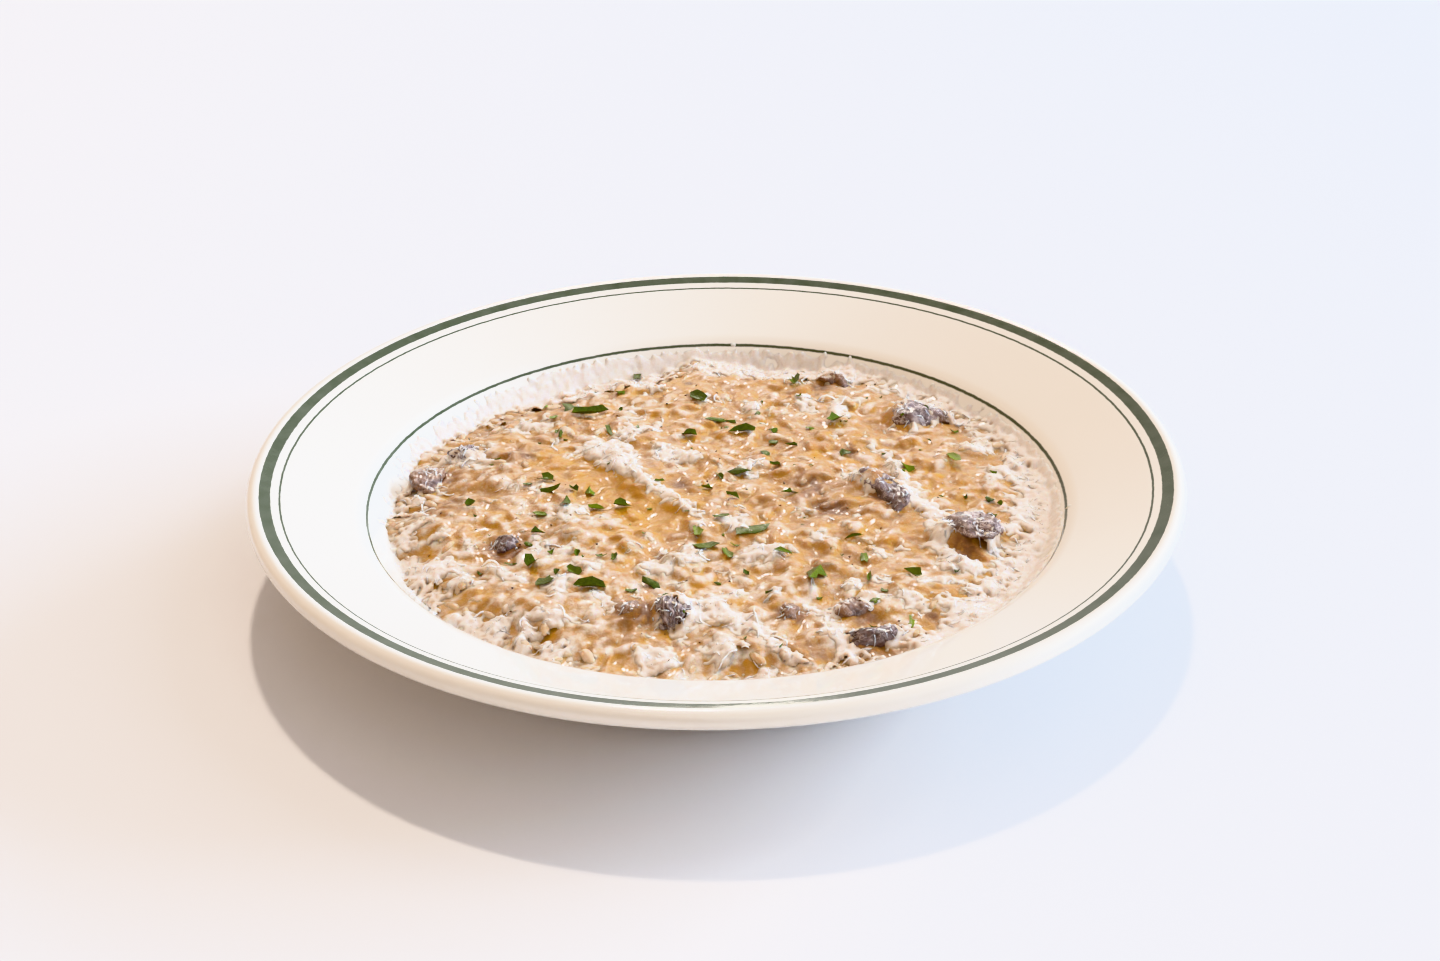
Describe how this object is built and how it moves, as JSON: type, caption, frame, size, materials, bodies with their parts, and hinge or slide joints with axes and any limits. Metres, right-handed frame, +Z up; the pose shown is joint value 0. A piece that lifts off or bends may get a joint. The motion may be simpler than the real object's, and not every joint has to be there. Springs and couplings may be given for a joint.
{
  "type": "mushroom risotto",
  "caption": "Creamy mushroom risotto with grated cheese and chopped parsley, served in a shallow wide-rimmed porcelain bowl with green bands.",
  "frame": {"origin": "on the table under the middle of the bowl", "axes": "+Z up, -Y towards the viewer of the picture, +X to the viewer's right"},
  "size_m": [0.29, 0.29, 0.0384],
  "materials": {
    "porcelain": "glossy ivory-white glaze with a wide and two thin green rings",
    "creamy_rice": "moist and creamy",
    "mushroom": "moist, dark and uneven",
    "grated_cheese": "fluffy, slightly translucent shreds",
    "parsley": "fresh chopped leaf"
  },
  "bodies": {
    "root": {"bowl": "porcelain", "risotto": "creamy_rice", "mushroom_cap_back_right": "mushroom", "mushroom_slice_centre_right": "mushroom", "mushroom_cap_right": "mushroom", "mushroom_gills_front": "mushroom", "mushroom_stub_front": "mushroom", "mushroom_slice_front_right": "mushroom", "mushroom_chunk_front_right": "mushroom", "mushroom_chunk_front": "mushroom", "mushroom_bit_left": "mushroom", "mushroom_cap_left": "mushroom", "mushroom_strip_left": "mushroom", "mushroom_tip_back": "mushroom"}
  },
  "joints": []
}
